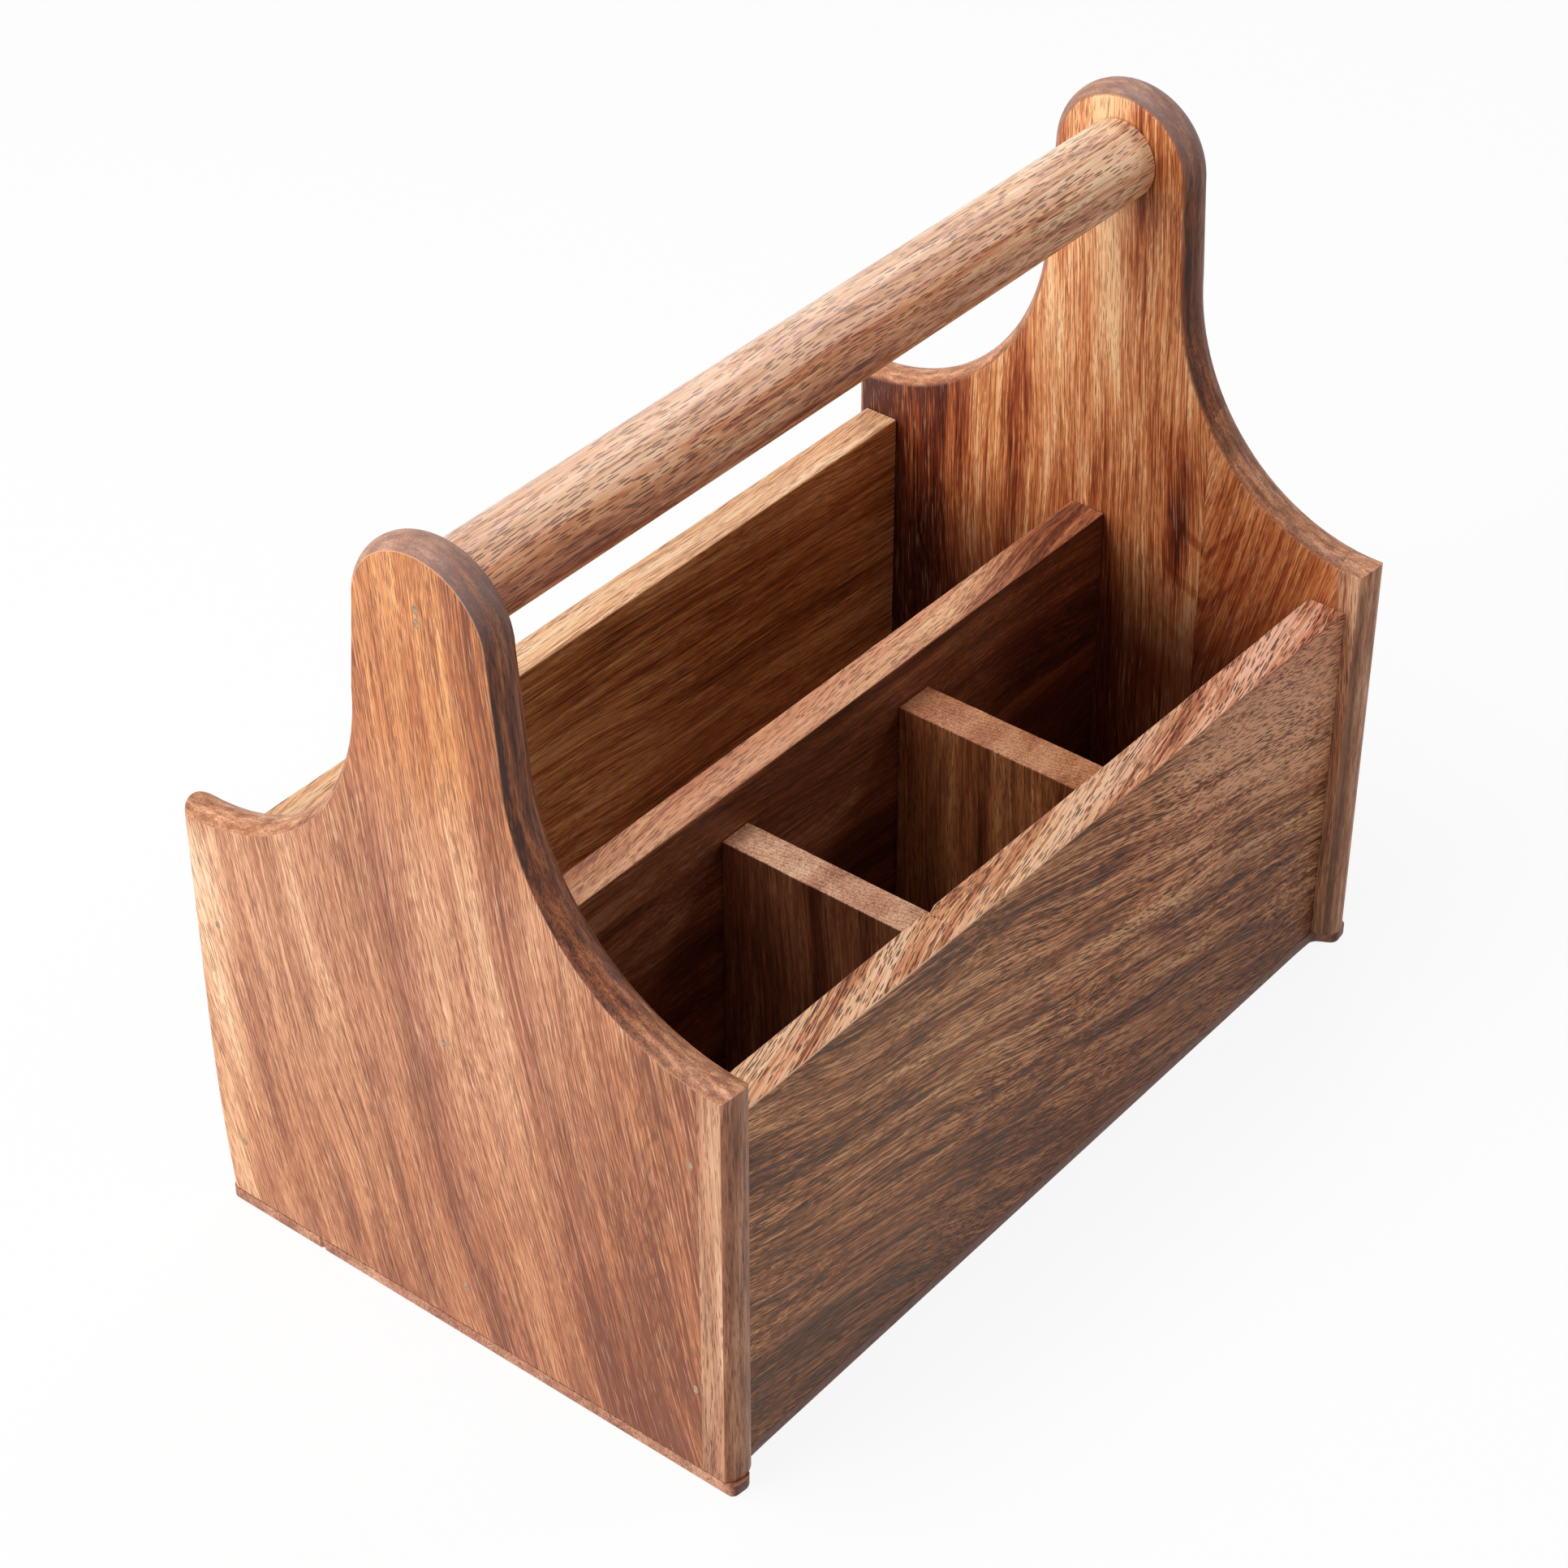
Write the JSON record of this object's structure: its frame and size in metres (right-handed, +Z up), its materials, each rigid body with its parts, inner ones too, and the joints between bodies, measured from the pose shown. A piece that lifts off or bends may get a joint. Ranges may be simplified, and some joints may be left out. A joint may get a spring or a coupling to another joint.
{
  "type": "handled storage caddy",
  "caption": "Wooden tote caddy with shaped end boards, a round bar handle, a long divider and cross dividers in its front half.",
  "frame": {"origin": "middle of the footprint, at the level of the base board's underside", "axes": "+X along the handle toward the right end board, +Y from the front board to the back board, +Z up"},
  "size_m": [0.25, 0.1582, 0.2208],
  "materials": {
    "left_end_wood": "oiled satin, honey brown with darker bands",
    "left_strip_wood": "oiled satin, pale tan with fine pores",
    "right_back_wood": "oiled satin, orange brown with honey streaks",
    "right_middle_wood": "oiled satin, honey brown with arched grain",
    "right_strip_wood": "oiled satin, pale tan with fine pores",
    "front_board_wood": "oiled satin, dark brown with near-black streaks",
    "back_board_wood": "oiled satin, golden brown with dark streaks",
    "long_divider_wood": "oiled satin, reddish brown, darker at the right end",
    "left_cross_wood": "oiled satin, end grain on the top edge",
    "right_cross_wood": "oiled satin, end grain on the top edge",
    "base_board_wood": "oiled satin, speckled end grain at the ends",
    "handle_wood": "oiled satin, pale honey with fine pores",
    "brad_steel": "bright drawn wire",
    "wood_filler": "matt filler, grey brown"
  },
  "bodies": {
    "root": {"back_board": "back_board_wood", "base_board": "base_board_wood", "base_brad_back_1": "brad_steel", "base_brad_back_2": "brad_steel", "base_brad_back_3": "brad_steel", "base_brad_divider_1": "brad_steel", "base_brad_divider_2": "brad_steel", "base_brad_front_1": "brad_steel", "base_brad_front_2": "brad_steel", "base_brad_front_3": "brad_steel", "front_board": "front_board_wood", "handle": "handle_wood", "left_brad_back_lower": "brad_steel", "left_brad_back_upper": "brad_steel", "left_brad_divider_lower": "brad_steel", "left_brad_divider_upper": "brad_steel", "left_brad_front_lower": "brad_steel", "left_brad_front_upper": "brad_steel", "left_brad_handle_lower": "brad_steel", "left_brad_handle_upper": "brad_steel", "left_cross_divider": "left_cross_wood", "left_end_board": "left_end_wood", "left_filler_back_lower": "wood_filler", "left_filler_back_upper": "wood_filler", "left_filler_divider_lower": "wood_filler", "left_filler_divider_upper": "wood_filler", "left_filler_front_lower": "wood_filler", "left_filler_front_upper": "wood_filler", "left_filler_handle_lower": "wood_filler", "left_filler_handle_upper": "wood_filler", "left_front_strip": "left_strip_wood", "long_divider": "long_divider_wood", "right_back_stave": "right_back_wood", "right_brad_back_lower": "brad_steel", "right_brad_back_upper": "brad_steel", "right_brad_divider_lower": "brad_steel", "right_brad_divider_upper": "brad_steel", "right_brad_front_lower": "brad_steel", "right_brad_front_upper": "brad_steel", "right_brad_handle_lower": "brad_steel", "right_brad_handle_upper": "brad_steel", "right_cross_divider": "right_cross_wood", "right_filler_back_lower": "wood_filler", "right_filler_back_upper": "wood_filler", "right_filler_divider_lower": "wood_filler", "right_filler_divider_upper": "wood_filler", "right_filler_front_lower": "wood_filler", "right_filler_front_upper": "wood_filler", "right_filler_handle_lower": "wood_filler", "right_filler_handle_upper": "wood_filler", "right_front_strip": "right_strip_wood", "right_middle_stave": "right_middle_wood"}
  },
  "joints": []
}
